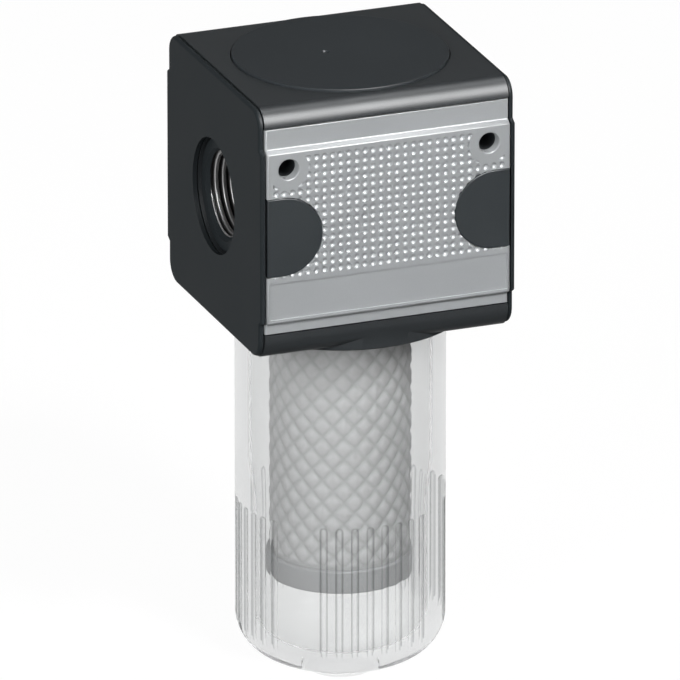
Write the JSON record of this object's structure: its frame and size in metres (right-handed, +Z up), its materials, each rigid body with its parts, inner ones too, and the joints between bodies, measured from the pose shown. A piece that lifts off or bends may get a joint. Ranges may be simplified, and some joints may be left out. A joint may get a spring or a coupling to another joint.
{
  "type": "activated carbon filter",
  "caption": "Inline compressed air filter: square ported head with clipped panels, clear screw-in bowl with grip flutes, and a quilted carbon element inside.",
  "frame": {"origin": "on the bowl's axis, at the underside of the bowl's foot", "axes": "+Z up along the bowl's axis, -Y towards the front panel, -X towards the inlet port"},
  "size_m": [0.06, 0.06, 0.1459],
  "materials": {
    "coated_metal": "dark grey coating, satin",
    "end_plate_plastic": "satin moulded",
    "clamp_cover_plastic": "satin moulded",
    "top_cap_plastic": "satin moulded",
    "silver_panel": "silver paint, satin",
    "machined_metal": "turned",
    "seal_rubber": "smooth",
    "clear_bowl": "clear, polished",
    "element_cap_plastic": "moulded",
    "core_plastic": "moulded",
    "element_fleece": "felted fibre",
    "element_sleeve": "quilted fleece",
    "carbon_granules": "loose granules"
  },
  "bodies": {
    "head": {"head_body": "coated_metal", "inlet_end_plate": "end_plate_plastic", "outlet_end_plate": "end_plate_plastic", "front_panel": "silver_panel", "rear_panel": "silver_panel", "front_inlet_clamp_cover": "clamp_cover_plastic", "front_outlet_clamp_cover": "clamp_cover_plastic", "rear_inlet_clamp_cover": "clamp_cover_plastic", "rear_outlet_clamp_cover": "clamp_cover_plastic", "top_cap": "top_cap_plastic", "top_cap_seal": "seal_rubber", "inlet_thread_bush": "machined_metal", "outlet_thread_bush": "machined_metal", "inlet_port_seal": "seal_rubber", "outlet_port_seal": "seal_rubber", "element_bottom_cap": "element_cap_plastic", "element_top_cap": "element_cap_plastic", "element_seal": "seal_rubber", "element_core_tube": "core_plastic", "element_inner_fleece": "element_fleece", "element_carbon_bed": "carbon_granules", "element_outer_sleeve": "element_sleeve"},
    "seal_ring": {"bowl_seal": "seal_rubber"},
    "bowl": {"bowl": "clear_bowl"}
  },
  "joints": [
    {"name": "bowl_lowering", "type": "slide", "parent": "head", "child": "seal_ring", "axis": [0, 0, -1], "range_m": [0, 0.009]},
    {"name": "bowl_unscrewing", "type": "hinge", "parent": "seal_ring", "child": "bowl", "pos_m": [0, 0, 0.0924], "axis": [0, 0, -1], "range_deg": [0, 1080]}
  ],
  "couplings": [
    {"joint": "bowl_lowering", "follows": "bowl_unscrewing", "m_per_rad": 0.00047746}
  ]
}
